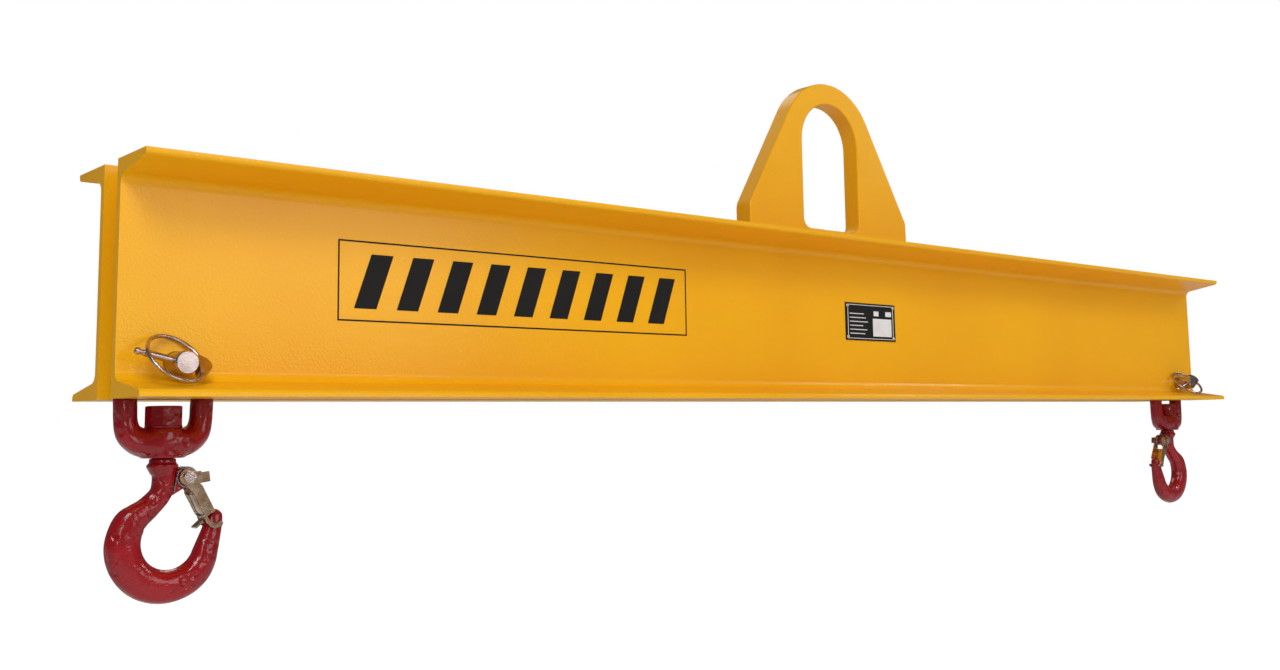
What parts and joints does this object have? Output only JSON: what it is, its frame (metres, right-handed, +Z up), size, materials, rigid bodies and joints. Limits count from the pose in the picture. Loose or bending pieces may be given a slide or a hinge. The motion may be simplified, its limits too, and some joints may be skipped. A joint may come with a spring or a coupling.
{
  "type": "spreader beam",
  "caption": "Twin-channel spreader beam with a slotted lifting bail and a pinned swivel hook at each end, each hook with a sprung latch.",
  "frame": {"origin": "crown of the bail's slot, in the middle of the plate, where the crane hook bears", "axes": "+X along the beam to the right hook, front channel towards -Y, +Z up"},
  "size_m": [1.8288, 0.1602, 0.5895],
  "materials": {
    "yellow_paint": "glossy enamel with fine orange peel",
    "red_paint": "glossy enamel over a forged surface",
    "zinc_plate": "bright zinc plate",
    "spring_steel": "drawn spring wire, oiled",
    "latch_chromate": "zinc plate with yellow chromate",
    "black_plate": "satin black with light fields",
    "decal_film": "glossy black film"
  },
  "bodies": {
    "beam": {"front_channel": "yellow_paint", "rear_channel": "yellow_paint", "lifting_bail": "yellow_paint", "filler_plates": "yellow_paint", "bail_welds": "yellow_paint", "web_spacers": "yellow_paint", "spacer_welds": "yellow_paint", "data_plate": "black_plate", "data_plate_rivets": "zinc_plate", "side_decal": "decal_film"},
    "pin_left": {"clevis_pin_left": "zinc_plate", "lynch_pin_left": "zinc_plate"},
    "ring_left": {"lynch_ring_left": "zinc_plate"},
    "bow_left": {"hook_bow_left": "red_paint", "thrust_washer_left": "red_paint"},
    "hook_left": {"hook_left": "red_paint", "hook_nut_left": "red_paint", "nut_lock_pin_left": "zinc_plate", "latch_bolt_left": "zinc_plate", "latch_nut_left": "zinc_plate", "latch_spring_left": "spring_steel"},
    "latch_left": {"latch_left": "latch_chromate"},
    "pin_right": {"clevis_pin_right": "zinc_plate", "lynch_pin_right": "zinc_plate"},
    "ring_right": {"lynch_ring_right": "zinc_plate"},
    "bow_right": {"hook_bow_right": "red_paint", "thrust_washer_right": "red_paint"},
    "hook_right": {"hook_right": "red_paint", "hook_nut_right": "red_paint", "nut_lock_pin_right": "zinc_plate", "latch_bolt_right": "zinc_plate", "latch_nut_right": "zinc_plate", "latch_spring_right": "spring_steel"},
    "latch_right": {"latch_right": "latch_chromate"}
  },
  "joints": [
    {"name": "pin_turn_left", "type": "hinge", "parent": "beam", "child": "pin_left", "pos_m": [-0.8636, 0, -0.3588], "axis": [0, 1, 0], "range_deg": [-22, 17]},
    {"name": "ring_open_left", "type": "hinge", "parent": "pin_left", "child": "ring_left", "pos_m": [-0.84879, -0.04258, -0.36222], "axis": [0.1618, 0.6947, 0.7009], "range_deg": [0, 114]},
    {"name": "bow_swing_left", "type": "hinge", "parent": "beam", "child": "bow_left", "pos_m": [-0.8636, 0, -0.3588], "axis": [0, 1, 0], "range_deg": [-25, 25]},
    {"name": "hook_swivel_left", "type": "hinge", "parent": "bow_left", "child": "hook_left", "pos_m": [-0.8636, 0, -0.4387], "axis": [0, 0, 1], "continuous": true},
    {"name": "latch_open_left", "type": "hinge", "parent": "hook_left", "child": "latch_left", "pos_m": [-0.8441, 0, -0.4553], "axis": [0, 1, 0], "range_deg": [0, 45], "stiffness_Nm_per_rad": 0.35, "springref_deg": -20.05, "deforming": ["latch_spring_left"]},
    {"name": "pin_turn_right", "type": "hinge", "parent": "beam", "child": "pin_right", "pos_m": [0.8636, 0, -0.3588], "axis": [0, 1, 0], "range_deg": [-3, 40]},
    {"name": "ring_open_right", "type": "hinge", "parent": "pin_right", "child": "ring_right", "pos_m": [0.87814, -0.04398, -0.35436], "axis": [-0.1918, 0.7547, 0.6274], "range_deg": [0, 120]},
    {"name": "bow_swing_right", "type": "hinge", "parent": "beam", "child": "bow_right", "pos_m": [0.8636, 0, -0.3588], "axis": [0, 1, 0], "range_deg": [-25, 25]},
    {"name": "hook_swivel_right", "type": "hinge", "parent": "bow_right", "child": "hook_right", "pos_m": [0.8636, 0, -0.4387], "axis": [0, 0, 1], "continuous": true},
    {"name": "latch_open_right", "type": "hinge", "parent": "hook_right", "child": "latch_right", "pos_m": [0.8441, 0, -0.4553], "axis": [0, -1, 0], "range_deg": [0, 45], "stiffness_Nm_per_rad": 0.35, "springref_deg": -20.05, "deforming": ["latch_spring_right"]}
  ]
}
